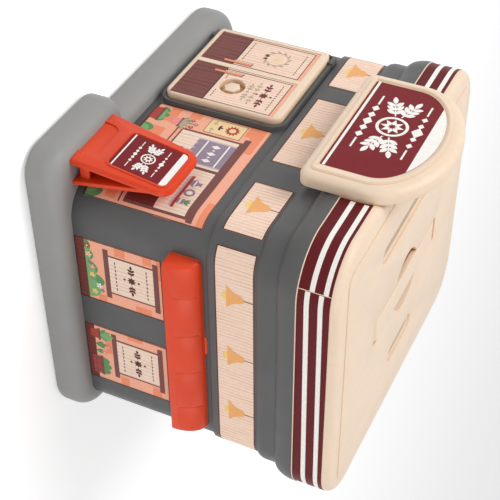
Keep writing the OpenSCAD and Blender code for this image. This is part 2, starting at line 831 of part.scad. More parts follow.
// Door: a tray with rolled edges, a barrel edge round the hinge pins, two sunk leaves, ribs and a
// knob well
well_floor = 1.6;
door_back = front_y - rest_gap;
face_y = front_y - door_out;
well_y = door_back - well_floor;
stem_r = 2.5;
pin_in = 7;
leaf_sink = 0.5;
leaf_gap = 0.25;
leaf_foot = 3.2;
leaf_head = 4.6;
leaf_side = 5.5;
leaf_edge = 1.5;
bar_w = 3.7;
left_leaf_w = door_w*0.4;
right_leaf_w = door_w - leaf_side - left_leaf_w - bar_w - leaf_edge;

// Outlines of the two leaves on the door's face
module leaves(grow) {
    h = door_h - leaf_foot - leaf_head;
    for (leaf = [[door_x0 + leaf_side, left_leaf_w], [door_x1 - leaf_edge - right_leaf_w, right_leaf_w]])
        translate([leaf[0] - grow, door_z0 + leaf_foot - grow]) square([leaf[1] + 2*grow, h + 2*grow]);
}

// The door's block with rolled front edges
module door_blank() {
    edge = 1.8;
    hull() {
        on_front(door_back, door_out - rest_gap - edge) door_plan(0);
        for (i = [1:4])
            on_front(face_y + edge*(1 - sin(22.5*i)) + 0.01, 0.01) door_plan(-edge*(1 - cos(22.5*i)));
    }
}

module door() {
    t = 2.2;
    color(cream) site() difference() {
        union() {
            difference() {
                intersection() {
                    door_blank();
                    union() {
                        translate([hinge_x, face_y - 1, door_z0]) cube([door_w, door_out + 1, door_h]);
                        translate([hinge_x, hinge_y, door_z0]) cylinder(r = hinge_r, h = door_h);
                    }
                }
                // hollow back
                on_front(door_back + 1, door_out - rest_gap - t + 1) intersection() {
                    door_plan(-t);
                    translate([hinge_x + hinge_r, door_z0]) square([door_w, door_h]);
                }
            }
            // ribs behind the leaves
            for (x = [0.28, 0.5, 0.74]) translate([door_x0 + door_w*x - 0.7, face_y + 1, door_z0 + 1])
                cube([1.4, door_out - rest_gap - 1, door_h - 2]);
            translate([hinge_x + 1, face_y + 1, door_z0 + door_h*0.78])
                cube([door_w - hinge_r - 2, door_out - rest_gap - 1, 1.4]);
            translate([knob_x, door_back, knob_level]) rotate([90, 0, 0])
                cylinder(d = well_d + 3.6, h = door_out - rest_gap - 1);
        }
        // sunk leaves, knob well and stem hole
        on_front(face_y + leaf_sink, 2) leaves(leaf_gap);
        translate([knob_x, face_y - 1, knob_level]) rotate([-90, 0, 0])
            cylinder(d = well_d, h = well_y - face_y + 1);
        translate([knob_x, face_y, knob_level]) rotate([-90, 0, 0])
            cylinder(r = stem_r + run_gap, h = door_out + 5);
        for (z = [0, 1]) translate([hinge_x, hinge_y, z == 0 ? door_z0 - 1 : door_z1 - pin_in])
            cylinder(d = pin_d, h = pin_in + 1);
    }
}

module hinge_pins() {
    out = door_gap + lug_w - pin_end - seat_gap;
    color(steel) site() for (z = [door_z0 - out, door_z1 - pin_in])
        translate([hinge_x, hinge_y, z]) cylinder(d = pin_d, h = pin_in + out);
}

// Knob, cam and screw
cam_plane = front_y + wall + 0.4;
cam_t = 2.5;
cam_l = 17;
square_w = 3;

module door_knob() {
    flange_t = 1.2;
    knob_sink = 0.9;
    color(cream) site() translate([knob_x, 0, knob_level]) difference() {
        union() {
            translate([0, face_y + knob_sink, 0]) rotate([-90, 30, 0])
                cylinder(d = knob_w/cos(30), h = well_y - face_y - knob_sink - flange_t + 0.2, $fn = 6);
            translate([0, well_y - flange_t, 0]) rotate([-90, 0, 0])
                cylinder(d = well_d - 0.8, h = flange_t);
            translate([0, well_y - flange_t, 0]) rotate([-90, 0, 0])
                cylinder(r = stem_r, h = cam_plane - well_y + flange_t);
            translate([-square_w/2, cam_plane - 1, -square_w/2]) cube([square_w, cam_t + 1, square_w]);
        }
        translate([0, cam_plane + cam_t - 6, 0]) rotate([-90, 0, 0]) cylinder(r = 1 + thread_gap, h = 7);
    }
}

module latch_cam() {
    hub_r = 4.5;
    tip_r = 3.5;
    hole = square_w + 0.1;
    hub_gap = 0.15;
    push_gap = 0.02;
    color(grey) site() translate([knob_x, 0, knob_level]) difference() {
        union() {
            translate([0, door_back + hub_gap, 0]) rotate([-90, 0, 0])
                cylinder(r = hub_r, h = cam_plane + cam_t - door_back - hub_gap);
            translate([-tip_r, cam_plane, 0]) cube([2*tip_r, cam_t, cam_l - tip_r]);
            translate([0, cam_plane, cam_l - tip_r]) rotate([-90, 0, 0]) cylinder(r = tip_r, h = cam_t);
        }
        translate([0, door_back - 1, 0]) rotate([-90, 0, 0])
            cylinder(r = stem_r + push_gap, h = cam_plane - door_back + 1);
        translate([-hole/2, cam_plane - 0.5, -hole/2]) cube([hole, cam_t + 1, hole]);
    }
}

module cam_screw() {
    color(steel) site() translate([knob_x, cam_plane + cam_t, knob_level]) rotate([-90, 0, 0]) {
        cylinder(r = 3.6, h = 1.4);
        translate([0, 0, -5]) cylinder(r = 1, h = 5);
    }
}

// Labels: films on the surfaces
film = 0.16;

// A film on the walls at the given standoff, cut to what lies between two corners of a box
module wall_film(out, z0, h, low, high) {
    intersection() {
        around(body_w, body_d, body_r) translate([body_r + out, z0]) square([film, h]);
        translate([low[0], low[1], z0 - 1]) cube([high[0] - low[0], high[1] - low[1], h + 2]);
    }
}

// Front window: from beside the door's rim on to the corner's curve
window_label_h = 65.3;
window_label_z = 4;
window_label_in = door_gap + rim_w + seat_gap;
window_label_end = 6.6;

module front_window_label() {
    color(salmon) site() wall_film(0, plinth_h + window_label_z, window_label_h,
        [door_x1 + window_label_in, -body_d], [side_x - window_label_end, 0]);
}

// Side windows: two labels, one on either side of the wall's middle
side_label_h = 48.8;
side_label_w = 40.4;
side_label_space = 19.6;
side_label_mid = 1;

module side_window_labels() {
    color(salmon) site() for (y = [-side_label_space/2 - side_label_w, side_label_space/2])
        translate([side_x, side_label_mid + y, plinth_h + 0.4]) cube([film, side_label_w, side_label_h]);
}

// Label band: three labels on the front and one that wraps round the corner on to the side
frieze_label_z0 = frieze_z + 3.6;
frieze_label_h = 21;
frieze_end = 8;
frieze_left_w = 35.2;
frieze_mid_w = 60.6;
frieze_mid = -3.3;
frieze_right_w = 36.9;
frieze_side_in = 5.4;
frieze_side_end = 4;

module frieze_labels() {
    color("#f0d0b8") site() {
        for (x = [[frieze_end - side_x, frieze_left_w], [frieze_mid - frieze_mid_w/2, frieze_mid_w],
                [side_x - frieze_end - frieze_right_w, frieze_right_w]])
            wall_film(frieze_out, frieze_label_z0, frieze_label_h, [x[0], -body_d], [x[0] + x[1], 0]);
        wall_film(frieze_out, frieze_label_z0, frieze_label_h,
            [0, front_y + frieze_side_in], [body_w, body_d/2 - frieze_side_end]);
    }
}

// Striped band round the roof cap, open where the sign board sits
module stripe_labels() {
    lip_top = cap_lip + 0.1;
    color(burgundy) site() difference() {
        around(body_w, body_d, body_r)
            translate([cap_r, cap_z + lip_top]) square([film, cap_h - cap_edge_r - lip_top]);
        on_front(front_y, cap_out + 2) translate([0, board_z0 - seat_gap])
            arched(board_w + 2*seat_gap, board_h + 2*seat_gap, arch_h + seat_gap, corner_r);
    }
}

module door_labels() {
    color(salmon) site() on_front(face_y + leaf_sink, film) difference() {
        leaves(0);
        translate([knob_x, knob_level]) circle(d = well_d + 0.4);
    }
}

module sign_label() {
    label_side = 1.7;
    label_head = 1.1;
    label_flat = 8.5;
    label_x = -0.9;
    label_w = board_w - 2*(border + trim_w + label_side);
    label_h = board_h - 2*(border + trim_w) - crown - label_head;
    color(burgundy) site() on_front(board_y, film)
        translate([label_x, board_z0 + border + trim_w + seat_gap])
            arched(label_w, label_h, arch_h - label_flat, 0.8);
}

module easel_label() {
    color(burgundy) site() translate([easel_x, front_y0, plinth_h]) rotate([-front_lean, 0, 0])
        on_front(0, film) easel_label_plan(0);
}

base_plinth();
bottom_cover();
rubber_feet();
bottom_screws();
body_shell();
body_screws();
roof_cap();
roof_screws();
carry_handle();
sign_board();
sign_screws();
awning();
awning_screws();
easel_front_board();
easel_back_board();
door();
hinge_pins();
door_knob();
latch_cam();
cam_screw();
front_window_label();
side_window_labels();
frieze_labels();
stripe_labels();
door_labels();
sign_label();
easel_label();
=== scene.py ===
"""Looks for the corner-shop coin bank: camera, studio, plastics and printed label artwork."""
import math

import bmesh
import bpy
from mathutils import Matrix, Vector


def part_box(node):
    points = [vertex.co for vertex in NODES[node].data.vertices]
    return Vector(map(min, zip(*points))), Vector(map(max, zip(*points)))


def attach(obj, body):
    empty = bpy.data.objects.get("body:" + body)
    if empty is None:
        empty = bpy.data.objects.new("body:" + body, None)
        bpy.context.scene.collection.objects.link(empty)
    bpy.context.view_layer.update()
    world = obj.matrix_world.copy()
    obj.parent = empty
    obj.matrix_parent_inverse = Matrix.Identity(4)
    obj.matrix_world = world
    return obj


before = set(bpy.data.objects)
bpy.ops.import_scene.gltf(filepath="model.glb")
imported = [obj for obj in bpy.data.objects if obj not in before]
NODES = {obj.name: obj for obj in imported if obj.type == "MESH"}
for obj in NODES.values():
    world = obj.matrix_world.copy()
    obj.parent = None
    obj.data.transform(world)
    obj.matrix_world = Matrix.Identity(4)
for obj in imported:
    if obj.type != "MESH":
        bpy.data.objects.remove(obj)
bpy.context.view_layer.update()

MM = 0.001

# Places on the building, in millimetres: x and y from its middle, z from the ground
SWELL_OUT = 9.6
FRIEZE_OUT = 1.5
CAP_OUT = 9.0
BODY_R = 17.0
cap_low, cap_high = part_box("roof_cap")
SITE_Y = (cap_low.y + cap_high.y)/2/MM
HALF_W = cap_high.x/MM - SWELL_OUT
HALF_D = (cap_high.y - cap_low.y)/2/MM - SWELL_OUT
PLINTH_H = 19.0
DOOR_OUT = 6.9
LEAF_SINK = 0.5
LEAF_Y = -HALF_D - DOOR_OUT + LEAF_SINK
BOARD_OUT = 8.1
BOARD_Y = -HALF_D - CAP_OUT - BOARD_OUT

# Pavement sign: its ridge stands out from the wall, and its front board's foot stands out further
EASEL_IN = 25.7
EASEL_H = 52.7
EASEL_RIDGE_OUT = 9.3
EASEL_STEP = 8.4
EASEL_X = HALF_W - EASEL_IN
EASEL_FOOT_Y = -HALF_D - EASEL_RIDGE_OUT - EASEL_STEP
EASEL_LEAN = math.atan(EASEL_STEP/EASEL_H)

# Thickness of a label's film, and the height of each layer of ink over it
FILM = 0.16
INK_T = 0.03

# Camera: solved from the photograph's straight edges
LENS_MM = 89.97
CAMERA_AT = (481.8, -451.5 + SITE_Y, 302.1)
CAMERA_TURN = (0.459162, 1.911310, 0.711514)
SENSOR_MM = 36


def add_camera():
    """The turn is an axis times an angle in radians; it takes the object's axes to right, down and ahead."""
    turn = Vector(CAMERA_TURN)
    world_to_view = Matrix.Rotation(turn.length, 3, turn.normalized())
    right, down, ahead = world_to_view
    axes = Matrix((right, -down, -ahead)).transposed().to_4x4()
    data = bpy.data.cameras.new("camera")
    data.lens = LENS_MM
    data.sensor_width = SENSOR_MM
    data.clip_start = 0.01
    data.clip_end = 20
    camera = bpy.data.objects.new("camera", data)
    camera.matrix_world = Matrix.Translation(Vector(CAMERA_AT)*MM) @ axes
    bpy.context.scene.collection.objects.link(camera)
    bpy.context.scene.camera = camera
    return camera


class Graph:
    """Small helper that adds nodes to a material and links them."""

    def __init__(self, name):
        self.material = bpy.data.materials.new(name)
        self.material.use_nodes = True
        self.tree = self.material.node_tree
        self.shader = self.tree.nodes["Principled BSDF"]
        self.coords = self.add("ShaderNodeTexCoord").outputs["Object"]

    def add(self, kind, **settings):
        node = self.tree.nodes.new(kind)
        for key, value in settings.items():
            setattr(node, key, value)
        return node

    def link(self, output, socket):
        self.tree.links.new(output, socket)

    def noise(self, scale, detail=3.0, rough=0.5, upright=1.0):
        """Noise; a value of upright below 1 draws it out into streaks along the height."""
        node = self.add("ShaderNodeTexNoise")
        node.inputs["Scale"].default_value = scale
        node.inputs["Detail"].default_value = detail
        node.inputs["Roughness"].default_value = rough
        squeeze = self.add("ShaderNodeMapping", vector_type="POINT")
        squeeze.inputs["Scale"].default_value = (1, 1, upright)
        self.link(self.coords, squeeze.inputs["Vector"])
        self.link(squeeze.outputs["Vector"], node.inputs["Vector"])
        return node.outputs["Fac"]

    def spread(self, value, low, high, out_low, out_high):
        """Maps low to high onto out_low to out_high, and holds what lies outside at the ends."""
        node = self.add("ShaderNodeMapRange")
        node.inputs["From Min"].default_value = low
        node.inputs["From Max"].default_value = high
        node.inputs["To Min"].default_value = out_low
        node.inputs["To Max"].default_value = out_high
        self.link(value, node.inputs["Value"])
        return node.outputs["Result"]

    def mix(self, factor, first, second):
        node = self.add("ShaderNodeMix", data_type="RGBA")
        self.link(factor, node.inputs[0])
        for socket, value in ((node.inputs[6], first), (node.inputs[7], second)):
            if isinstance(value, bpy.types.NodeSocket):
                self.link(value, socket)
            else:
                socket.default_value = (*value, 1)
        return node.outputs[2]

    def bump(self, height, strength, distance, before=None):
        node = self.add("ShaderNodeBump")
        node.inputs["Strength"].default_value = strength
        node.inputs["Distance"].default_value = distance
        self.link(height, node.inputs["Height"])
        if before is not None:
            self.link(before, node.inputs["Normal"])
        return node.outputs["Normal"]

    def planks(self, pitch):
        """Thin upright lines, one to each board of the given width in metres, wavering as drawn by hand."""
        split = self.add("ShaderNodeSeparateXYZ")
        self.link(self.coords, split.inputs[0])
        along = self.add("ShaderNodeMath", operation="ADD")
        self.link(split.outputs["X"], along.inputs[0])
        self.link(split.outputs["Y"], along.inputs[1])
        place = self.add("ShaderNodeCombineXYZ")
        self.link(along.outputs[0], place.inputs["X"])
        rise = self.add("ShaderNodeMath", operation="MULTIPLY")
        rise.inputs[1].default_value = 0.2
        self.link(split.outputs["Z"], rise.inputs[0])
        self.link(rise.outputs[0], place.inputs["Z"])
        wave = self.add("ShaderNodeTexWave", wave_type="BANDS", bands_direction="X", wave_profile="SIN")
        wave.inputs["Scale"].default_value = 0.314/pitch
        wave.inputs["Distortion"].default_value = 3.4
        wave.inputs["Detail"].default_value = 2
        wave.inputs["Detail Scale"].default_value = 0.9
        self.link(place.outputs[0], wave.inputs["Vector"])
        fade = self.add("ShaderNodeMath", operation="MULTIPLY")
        self.link(self.spread(wave.outputs["Fac"], 0.72, 1.0, 0, 1), fade.inputs[0])
        self.link(self.spread(self.noise(210, 2, 0.5, 0.25), 0.36, 0.6, 0.25, 1), fade.inputs[1])
        return fade.outputs[0]


def shade(color, factor):
    return tuple(min(1.0, c*factor) for c in color)


def linear(red, green, blue):
    """A colour as a screen shows it, 0 to 255, turned into the linear light that shaders take."""
    parts = (red/255, green/255, blue/255)
    return tuple((c/12.92 if c <= 0.04045 else ((c + 0.055)/1.055)**2.4) for c in parts)


def plastic(name, color, roughness, flow=0.05, grain=0.06, streak=0.0, gloss=0.35, painted_hollow_tone=None, reach=5):
    """Moulded plastic: flow clouds and faint upright streaks in the colour, uneven gloss and a fine grain.

    hollow is a colour painted onto places with another wall within reach, in mm: painted shade where it is
    darker than the colour, painted light where it is lighter."""
    g = Graph(name)
    clouds = g.spread(g.noise(38, 4), 0.3, 0.7, 0, 1)
    tone = g.mix(clouds, shade(color, 1 - flow), shade(color, 1 + flow))
    if streak:
        lines = g.noise(330, 4, 0.6, 0.09)
        tone = g.mix(g.spread(lines, 0.5, 0.8, 0, streak), tone, shade(color, 0.72))
    # Painted shade and light: an ambient occlusion node tints places near another wall towards the given
    # colour
    if painted_hollow_tone:
        open_sky = g.add("ShaderNodeAmbientOcclusion", samples=8)
        open_sky.inputs["Distance"].default_value = reach*MM
        tone = g.mix(g.spread(open_sky.outputs["AO"], 0.3, 0.8, 0.8, 0), tone, painted_hollow_tone)
    g.link(tone, g.shader.inputs["Base Color"])
    gloss_map = g.spread(g.noise(90, 3), 0.3, 0.7, roughness - 0.05, roughness + 0.06)
    g.link(gloss_map, g.shader.inputs["Roughness"])
    waves = g.bump(g.noise(55, 2), 0.12, 0.0006)
    g.link(g.bump(g.noise(5200, 2), grain, 0.0001, waves), g.shader.inputs["Normal"])
    g.shader.inputs["IOR"].default_value = 1.48
    g.shader.inputs["Specular IOR Level"].default_value = gloss
    return g.material


def ink(name, color, roughness=0.42, mottle=0.04, planks=None):
    """Printed colour on a film label; planks gives the drawn boards' width in mm and their lines' colour."""
    g = Graph(name)
    specks = g.spread(g.noise(900, 3), 0.35, 0.65, 0, 1)
    tone = g.mix(specks, shade(color, 1 - mottle), shade(color, 1 + mottle))
    if planks:
        tone = g.mix(g.planks(planks[0]*MM), tone, planks[1])
    g.link(tone, g.shader.inputs["Base Color"])
    coat = g.spread(g.noise(300, 2), 0.3, 0.7, roughness - 0.04, roughness + 0.05)
    g.link(coat, g.shader.inputs["Roughness"])
    g.link(g.bump(g.noise(1800, 2), 0.05, 0.00005), g.shader.inputs["Normal"])
    g.shader.inputs["Specular IOR Level"].default_value = 0.12
    return g.material


def steel(name):
    g = Graph(name)
    g.shader.inputs["Metallic"].default_value = 1
    tone = g.mix(g.noise(700, 2), (0.5, 0.5, 0.52), (0.72, 0.72, 0.73))
    g.link(tone, g.shader.inputs["Base Color"])
    g.link(g.spread(g.noise(500, 3), 0.3, 0.7, 0.28, 0.45), g.shader.inputs["Roughness"])
    return g.material


PLANK_LINE = linear(226, 178, 152)

charcoal = plastic("charcoal plastic", linear(86, 86, 86), 0.44, flow=0.05)
stone = plastic("pale grey plastic", linear(150, 150, 148), 0.5, flow=0.03)
# Cream plastic with painted shade: a warm brown tint darkens its recesses, grooves and wells
cream = plastic("cream plastic", linear(238, 214, 189), 0.42, flow=0.02, streak=0.2,
                painted_hollow_tone=linear(206, 162, 112))
ORANGE = linear(222, 66, 26)
orange = plastic("orange plastic", ORANGE, 0.38, flow=0.04)
# Awning plastic with painted light: its narrow creases are tinted lighter, standing in for lit crease edges
awning_orange = plastic("creased orange plastic", ORANGE, 0.38, flow=0.04,
                        painted_hollow_tone=linear(255, 168, 128), reach=0.8)
black_rubber = plastic("black rubber", linear(36, 36, 36), 0.7, grain=0.2)
zinc = steel("zinc-plated steel")

INKS = {
    "salmon": ink("salmon ink", linear(246, 178, 150)),
    "brick": ink("orange brick ink", linear(240, 148, 112)),
    "paper": ink("plank paper", linear(245, 217, 197), planks=(2.2, PLANK_LINE)),
    "pane": ink("pale pane ink", linear(243, 220, 201), planks=(2.6, linear(228, 190, 168))),
    "brown": ink("brown ink", linear(124, 80, 76)),
    "earth": ink("red brown ink", linear(116, 58, 52), planks=(2.9, linear(100, 46, 42))),
    "oak": ink("door foot ink", linear(124, 75, 71), planks=(3.4, linear(96, 52, 50))),
    "line": ink("brown line ink", linear(104, 76, 66)),
    "coal": ink("dark line ink", linear(54, 36, 34)),
    "dusk": ink("edge line ink", linear(92, 52, 50)),
    "rust": ink("rust red ink", linear(176, 72, 62)),
    "lamp": ink("lamp orange ink", linear(240, 176, 112)),
    "bulb": ink("bulb yellow ink", linear(242, 210, 126)),
    "straw": ink("straw ink", linear(244, 212, 164)),
    "lilac": ink("lilac grey ink", linear(152, 136, 152)),
    "mist": ink("pale lilac ink", linear(196, 184, 196)),
    "leaf": ink("leaf green ink", linear(126, 176, 116)),
    "moss": ink("shaded green ink", linear(98, 150, 96)),
    "sage": ink("pale olive ink", linear(184, 168, 142)),
    "wine": ink("stripe burgundy ink", linear(98, 26, 30)),
    "rose": ink("rose ink", linear(238, 150, 146)),
    "burgundy": ink("burgundy ink", linear(122, 34, 40)),
    "white": ink("white ink", linear(246, 242, 236)),
}

LOOKS = {
    "base_plinth": stone, "bottom_cover": stone, "rubber_feet": black_rubber, "bottom_screws": zinc,
    "body_shell": charcoal, "body_screws": zinc, "roof_cap": cream, "roof_screws": zinc,
    "carry_handle": cream, "sign_board": cream, "sign_screws": zinc, "awning": awning_orange,
    "awning_screws": zinc, "easel_front_board": orange, "easel_back_board": orange, "door": cream,
    "hinge_pins": zinc, "door_knob": cream, "latch_cam": charcoal, "cam_screw": zinc,
    "front_window_label": INKS["salmon"], "side_window_labels": INKS["salmon"],
    "frieze_labels": INKS["paper"], "stripe_labels": INKS["wine"], "door_labels": INKS["paper"],
    "sign_label": INKS["burgundy"], "easel_label": INKS["burgundy"],
}


def make_angle_smoother(limit):
    """Geometry nodes that shade smooth across every edge flatter than the limit, in degrees."""
    group = bpy.data.node_groups.new("smooth by angle", "GeometryNodeTree")
    group.interface.new_socket("Geometry", in_out="INPUT", socket_type="NodeSocketGeometry")
    group.interface.new_socket("Geometry", in_out="OUTPUT", socket_type="NodeSocketGeometry")
    enter = group.nodes.new("NodeGroupInput")
    leave = group.nodes.new("NodeGroupOutput")
    angle = group.nodes.new("GeometryNodeInputMeshEdgeAngle")
    sharper = group.nodes.new("ShaderNodeMath")
    sharper.operation = "GREATER_THAN"
    sharper.inputs[1].default_value = math.radians(limit)
    faces = group.nodes.new("GeometryNodeSetShadeSmooth")
    edges = group.nodes.new("GeometryNodeSetShadeSmooth")
    edges.domain = "EDGE"
    edges.inputs["Shade Smooth"].default_value = False
    group.links.new(enter.outputs[0], faces.inputs["Geometry"])
    group.links.new(faces.outputs[0], edges.inputs["Geometry"])
    group.links.new(angle.outputs["Unsigned Angle"], sharper.inputs[0])
    group.links.new(sharper.outputs[0], edges.inputs["Selection"])
    group.links.new(edges.outputs[0], leave.inputs[0])
    return group


SMOOTH_BELOW = 32
SMOOTHER = make_angle_smoother(SMOOTH_BELOW)


def dress(node, material, edge=0.0):
    """Gives a CAD solid its material and smooth shading, with its edges eased by a small bevel in mm."""
    obj = NODES[node]
    obj.data.materials.clear()
    obj.data.materials.append(material)
    for layer in ("custom_normal", "sharp_edge", "sharp_face"):
        if layer in obj.data.attributes:
            obj.data.attributes.remove(obj.data.attributes[layer])
    weld = obj.modifiers.new("weld", "WELD")
    weld.merge_threshold = 0.000002
    if edge:
        flat = obj.modifiers.new("planar", "DECIMATE")
        flat.decimate_type = "DISSOLVE"
        flat.angle_limit = math.radians(0.4)
        bevel = obj.modifiers.new("bevel", "BEVEL")
        bevel.width = edge*MM
        bevel.segments = 2
        bevel.limit_method = "ANGLE"
        bevel.angle_limit = math.radians(40)
        bevel.use_clamp_overlap = True
    obj.modifiers.new("smooth", "NODES").node_group = SMOOTHER


# Width of the small bevel that eases each solid's edges, in mm
EDGES = {"roof_cap": 0.2, "body_shell": 0.35, "awning": 0.3, "easel_front_board": 0.3,
         "easel_back_board": 0.3, "door": 0.3, "door_knob": 0.4, "sign_board": 0.3, "carry_handle": 0.3}


# Flat shapes for the labels, as lists of points in millimetres

def rect(u0, v0, u1, v1):
    return [(u0, v0), (u1, v0), (u1, v1), (u0, v1)]


def turned(shape, u, v, angle=0.0, scale=1.0):
    """The shape turned about the origin, scaled, and moved to u, v."""
    c, s = math.cos(math.radians(angle))*scale, math.sin(math.radians(angle))*scale
    return [(u + x*c - y*s, v + x*s + y*c) for x, y in shape]


def oval(u, v, ru, rv=None, start=0, end=360, steps=24):
    """An ellipse, or the part of it between two angles."""
    rv = ru if rv is None else rv
    count = steps if end - start >= 360 else steps + 1
    step = math.radians(end - start)/steps
    return [(u + ru*math.cos(math.radians(start) + step*i), v + rv*math.sin(math.radians(start) + step*i))
            for i in range(count)]


def ring(u, v, r, width, steps=32):
    """A ring as two half bands, so that neither has a hole."""
    halves = []
    for start in (0, 180):
        outer = oval(u, v, r, r, start, start + 180, steps//2)
        inner = oval(u, v, r - width, r - width, start, start + 180, steps//2)
        halves.append(outer + inner[::-1])
    return halves


def star(u, v, points, r_out, r_in, turn=90.0):
    half = math.radians(180/points)
    corners = []
    for k in range(2*points):
        r = r_out if k % 2 == 0 else r_in
        angle = math.radians(turn) + half*k
        corners.append((u + r*math.cos(angle), v + r*math.sin(angle)))
    return corners


def diamond(u, v, ru, rv):
    return [(u - ru, v), (u, v - rv), (u + ru, v), (u, v + rv)]


def leaf(u, v, length, width, angle):
    """A pointed leaf whose stalk end is at u, v."""
    ts = [i/7 for i in range(8)]
    upper = [(length*t, width/2*math.sin(math.pi*t)**0.8) for t in ts]
    lower = [(x, -y) for x, y in upper[1:-1]][::-1]
    return turned(upper + lower, u, v, angle)


def blossom(u, v, r, petals=5, turn=18.0):
    return [(u + r*(0.74 + 0.26*math.cos(petals*a))*math.cos(a + math.radians(turn)),
             v + r*(0.74 + 0.26*math.cos(petals*a))*math.sin(a + math.radians(turn)))
            for a in (2*math.pi*i/40 for i in range(40))]


def strip(points, width):
    """A line through the points with square ends."""
    left, right = [], []
    for i, (x, y) in enumerate(points):
        ax, ay = points[max(i - 1, 0)]
        bx, by = points[min(i + 1, len(points) - 1)]
        length = math.hypot(bx - ax, by - ay)
        nx, ny = -(by - ay)/length*width/2, (bx - ax)/length*width/2
        left.append((x + nx, y + ny))
        right.append((x - nx, y - ny))
    return left + right[::-1]


def border(u0, v0, u1, v1, width):
    """A rectangular line as four bars."""
    return [rect(u0, v0, u1, v0 + width), rect(u0, v1 - width, u1, v1),
            rect(u0, v0 + width, u0 + width, v1 - width), rect(u1 - width, v0 + width, u1, v1 - width)]


def bush(u0, u1, v, heights):
    """A leafy mound as a row of overlapping round humps of the given heights."""
    width = (u1 - u0)/len(heights)
    return [oval(u0 + width*(i + 0.5), v, width*0.66, height, 0, 180, 14)
            for i, height in enumerate(heights)]


def dashes(u0, u1, v, pitch, length, thick):
    """A broken line of short bars."""
    count = int((u1 - u0)/pitch)
    first = (u0 + u1 - pitch*(count - 1) - length)/2
    return [rect(first + pitch*i, v - thick/2, first + pitch*i + length, v + thick/2) for i in range(count)]


def sprig(u, v, length, angle, pairs, leaf_l, leaf_w):
    """A stalk with pairs of leaves and one at its tip."""
    tip = turned([(length, 0)], u, v, angle)[0]
    shapes = [strip([(u, v), tip], leaf_w*0.28)]
    for i in range(pairs):
        x, y = turned([(length*(i + 0.6)/(pairs + 0.3), 0)], u, v, angle)[0]
        shapes += [leaf(x, y, leaf_l, leaf_w, angle + side*48) for side in (-1, 1)]
    return shapes + [leaf(*tip, leaf_l*1.1, leaf_w, angle)]


# Surfaces that labels lie on: each takes u, v and a height over it in mm, and gives a place in metres

def wall_place(out, start):
    """The upright walls at a standoff; u runs round them from `start`, measured from the front's middle."""
    r = BODY_R + out
    flat_x, flat_y, bend = HALF_W - BODY_R, HALF_D - BODY_R, r*math.pi/2

    def place(u, v, lift):
        s = u + start
        mirror = -1 if s < 0 else 1
        s = abs(s)
        spans = (("run", flat_x), ("bend", bend), ("run", 2*flat_y), ("bend", bend), ("run", 2*flat_x),
                 ("bend", bend), ("run", 2*flat_y), ("bend", bend), ("run", flat_x))
        turn = -90.0
        x, y = 0.0, -flat_y
        for kind, length in spans:
            part = min(s, length)
            way = math.radians(turn + 90)
            if kind == "run":
                x, y = x + part*math.cos(way), y + part*math.sin(way)
            else:
                turn += 90*part/length
            s -= part
            if s <= 0:
                break
        face = math.radians(turn)
        return Vector((mirror*(x + (r + lift)*math.cos(face)), y + (r + lift)*math.sin(face) + SITE_Y, v))*MM
    return place


def plane_place(y, x=0.0):
    """A plane that faces the front."""
    return lambda u, v, lift: Vector((x + u, y - lift + SITE_Y, v))*MM


def easel_place(u, v, lift):
    """The pavement sign's leaning front; v runs up along the board from the pavement."""
    c, s = math.cos(EASEL_LEAN), math.sin(EASEL_LEAN)
    return Vector((EASEL_X + u, EASEL_FOOT_Y - lift*c + v*s + SITE_Y, PLINTH_H + lift*s + v*c))*MM


# The way round the walls from the front's middle to the right side's middle
SIDE_START = (HALF_W - BODY_R) + (HALF_D - BODY_R) + BODY_R*math.pi/2

# Degrees between the cuts that let a flat shape bend round a corner
BEND_STEP = 2.5

# Shapes of one layer lie at this many slightly different heights, so that overlaps stay clean
STAGGERS = 5


class Print:
    """The inks on one label: flat shapes in layers, which lie on the label's film."""

    def __init__(self, name, slot, body, place, bends=()):
        self.name, self.slot, self.body, self.place = name, slot, body, place
        self.bends = bends
        self.shapes = {}

    def add(self, ink_name, layer, *shapes):
        self.shapes.setdefault(ink_name, []).extend((layer, shape) for shape in shapes)

    def build(self):
        for ink_name, shapes in self.shapes.items():
            mesh = bmesh.new()
            for i, (layer, shape) in enumerate(shapes):
                height = layer + i % STAGGERS/(STAGGERS + 1)
                mesh.faces.new([mesh.verts.new((u, v, height)) for u, v in shape])
            for low, high in self.bends:
                cuts = max(2, round((high - low)/(BODY_R*math.radians(BEND_STEP)))) + 1
                for i in range(cuts):
                    cut = low + (high - low)*i/(cuts - 1)
                    bmesh.ops.bisect_plane(mesh, geom=mesh.verts[:] + mesh.edges[:] + mesh.faces[:],
                                           plane_co=(cut, 0, 0), plane_no=(1, 0, 0))
            backs = mesh.faces[:]
            grown = bmesh.ops.extrude_face_region(mesh, geom=backs, use_keep_orig=True)["geom"]
            tops = {piece for piece in grown if isinstance(piece, bmesh.types.BMVert)}
            for vert in mesh.verts:
                u, v, layer = vert.co
                lift = FILM + INK_T*(layer + 1) if vert in tops else FILM + INK_T*layer
                vert.co = self.place(u, v, lift)
            bmesh.ops.recalc_face_normals(mesh, faces=mesh.faces[:])
            data = bpy.data.meshes.new(f"{self.name}.{ink_name}")
            mesh.to_mesh(data)
            mesh.free()
            data.materials.append(INKS[ink_name])
            piece = bpy.data.objects.new(f"{self.name}.{ink_name}", data)
            bpy.context.scene.collection.objects.link(piece)
            piece.modifiers.new("smooth", "NODES").node_group = SMOOTHER
            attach(piece, self.body)


def pot_plant(label, u, v, width, height, greens):
    """A tapered flower pot with a rim and leaves that fan out of it."""
    foot, rim, top = width*0.36, width/2, v + height
    label.add("rust", 4, [(u - foot, v), (u + foot, v), (u + rim, top), (u - rim, top)])
    label.add("brown", 5, rect(u - width*0.56, top - 1.1, u + width*0.56, top + 0.3))
    for angle, length in greens:
        green = "leaf" if abs(angle - 90) < 35 else "moss"
        label.add(green, 3, leaf(u, top - 0.4, length, length*0.36, angle))


